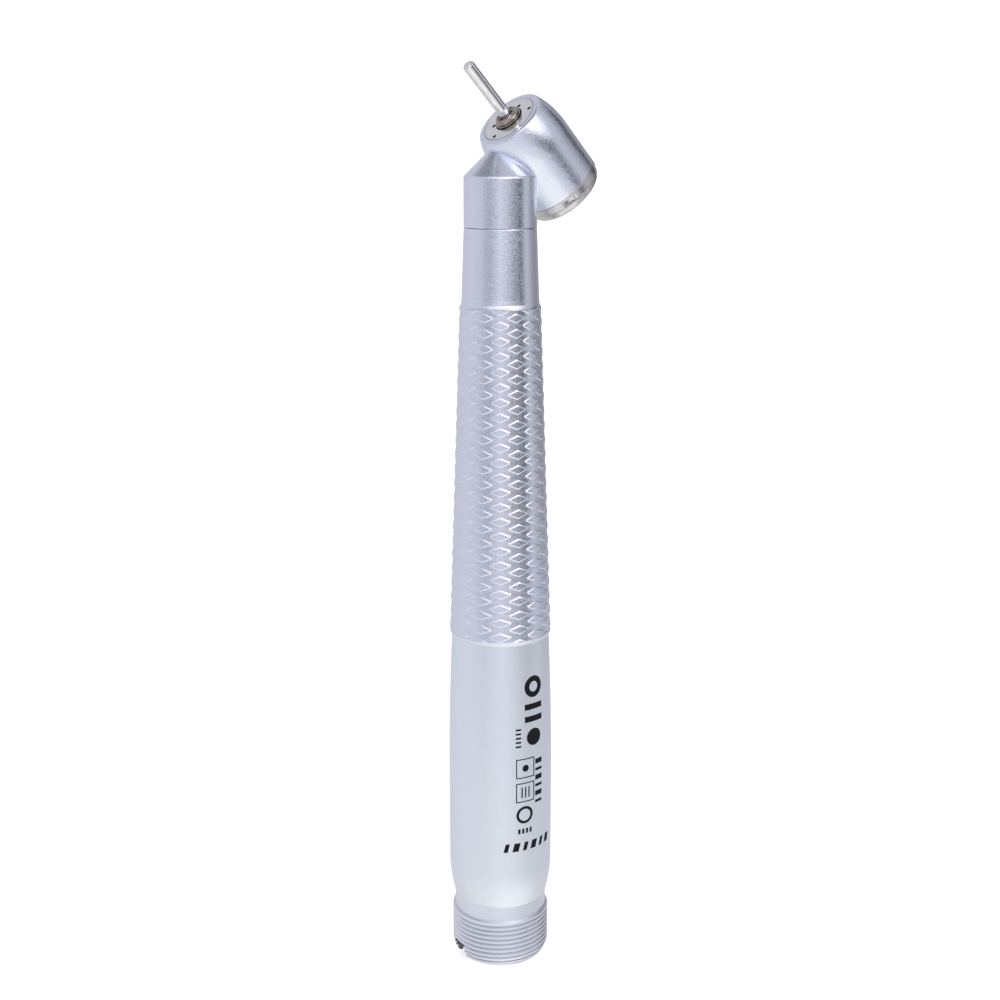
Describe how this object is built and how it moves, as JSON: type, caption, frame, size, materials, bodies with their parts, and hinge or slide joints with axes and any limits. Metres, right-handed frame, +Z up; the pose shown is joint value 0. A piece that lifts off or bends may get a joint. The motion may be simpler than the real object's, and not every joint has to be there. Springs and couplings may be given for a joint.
{
  "type": "dental high speed handpiece",
  "caption": "Slim dental turbine handpiece with a 45 degree push-button head, a diamond-knurled grip, a plain bur blank and a threaded rear end for its hose.",
  "frame": {"origin": "centre of the threaded rear end face", "axes": "+Z up the handle axis towards the head; the bur leans towards -X at 45 degrees and the push button faces +X and down; XZ is the plane of outer symmetry"},
  "size_m": [0.022, 0.0146, 0.1258],
  "materials": {
    "black_rubber": "moulded rubber",
    "cage_plastic": "brown phenolic",
    "chrome_steel": "polished",
    "impeller_alloy": "machined",
    "plate_steel": "fine satin steel disc",
    "satin_silver": "fine sandblasted satin plating, silver with a cool tint",
    "spindle_steel": "ground hardened steel, slightly brown",
    "spring_steel": "drawn wire",
    "stainless": "turned and polished stainless steel",
    "thread_steel": "turned satin plating",
    "tube_brass": "turned",
    "tube_steel": "drawn tube"
  },
  "bodies": {
    "handpiece": {"head_housing": "satin_silver", "face_plate": "plate_steel", "head_cap": "stainless", "button_clip": "spring_steel", "button_spring": "spring_steel", "front_bearing_outer_ring": "chrome_steel", "front_bearing_shield": "stainless", "rear_bearing_outer_ring": "chrome_steel", "rear_bearing_shield": "stainless", "front_bearing_seal": "black_rubber", "rear_bearing_seal": "black_rubber", "preload_washer": "spring_steel", "handle_shell": "satin_silver", "rear_connector": "thread_steel", "drive_air_nipple": "tube_steel", "water_nipple": "tube_steel", "drive_air_tube": "tube_steel", "water_tube": "tube_steel", "chip_air_tube": "tube_steel", "neck_manifold": "tube_brass", "neck_seal": "black_rubber", "rear_seal": "black_rubber"},
    "rotor": {"rotor_spindle": "spindle_steel", "impeller": "impeller_alloy", "collet": "spindle_steel", "chuck_spring": "spring_steel", "front_bearing_inner_ring": "chrome_steel", "rear_bearing_inner_ring": "chrome_steel"},
    "front_cage": {"front_bearing_balls": "chrome_steel", "front_bearing_cage": "cage_plastic"},
    "rear_cage": {"rear_bearing_balls": "chrome_steel", "rear_bearing_cage": "cage_plastic"},
    "button": {"push_button": "stainless"},
    "pusher": {"chuck_pusher": "spindle_steel"},
    "bur": {"bur": "chrome_steel"}
  },
  "joints": [
    {"name": "rotor_spin", "type": "hinge", "parent": "handpiece", "child": "rotor", "pos_m": [0, 0, 0.1201], "axis": [-0.7071, 0, 0.7071], "continuous": true},
    {"name": "front_cage_spin", "type": "hinge", "parent": "handpiece", "child": "front_cage", "pos_m": [0, 0, 0.1201], "axis": [-0.7071, 0, 0.7071], "continuous": true},
    {"name": "rear_cage_spin", "type": "hinge", "parent": "handpiece", "child": "rear_cage", "pos_m": [0, 0, 0.1201], "axis": [-0.7071, 0, 0.7071], "continuous": true},
    {"name": "button_press", "type": "slide", "parent": "handpiece", "child": "button", "axis": [-0.7071, 0, 0.7071], "range_m": [0, 0.0007], "stiffness_N_per_m": 10000, "springref_m": -0.0005, "deforming": ["button_spring"]},
    {"name": "chuck_release", "type": "slide", "parent": "rotor", "child": "pusher", "axis": [-0.7071, 0, 0.7071], "range_m": [0, 0.00053], "deforming": ["chuck_spring"]},
    {"name": "bur_release", "type": "slide", "parent": "rotor", "child": "bur", "axis": [-0.7071, 0, 0.7071], "range_m": [0, 0.012]}
  ],
  "couplings": [
    {"joint": "front_cage_spin", "follows": "rotor_spin", "ratio": 0.395},
    {"joint": "rear_cage_spin", "follows": "rotor_spin", "ratio": 0.395},
    {"joint": "chuck_release", "follows": "button_press", "ratio": 0.75}
  ]
}
